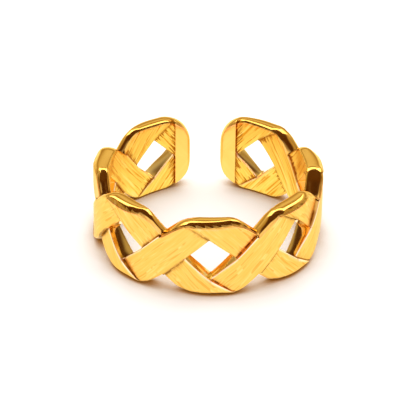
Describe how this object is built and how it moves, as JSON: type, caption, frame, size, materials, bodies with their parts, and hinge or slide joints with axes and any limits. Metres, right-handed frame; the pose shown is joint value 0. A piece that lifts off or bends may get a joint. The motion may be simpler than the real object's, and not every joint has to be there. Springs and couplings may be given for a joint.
{
  "type": "open braided band ring",
  "caption": "Open finger ring whose wide band is a flat braid of crossing gold-coloured strips with diamond holes, closed by a plain plate at each end.",
  "frame": {"origin": "on the ring's axis, in the plane of the band's lower rim, on which the ring lies", "axes": "+Z along the finger, away from the surface; -Y to the middle of the band, opposite the opening; +Y to the opening between the two ends; +X to the right when the ring is seen from -Y"},
  "size_m": [0.0204, 0.0204, 0.0072],
  "materials": {
    "gold": "satin, brushed along the strips, with polished rims"
  },
  "bodies": {
    "root": {"braided_band": "gold"}
  },
  "joints": []
}
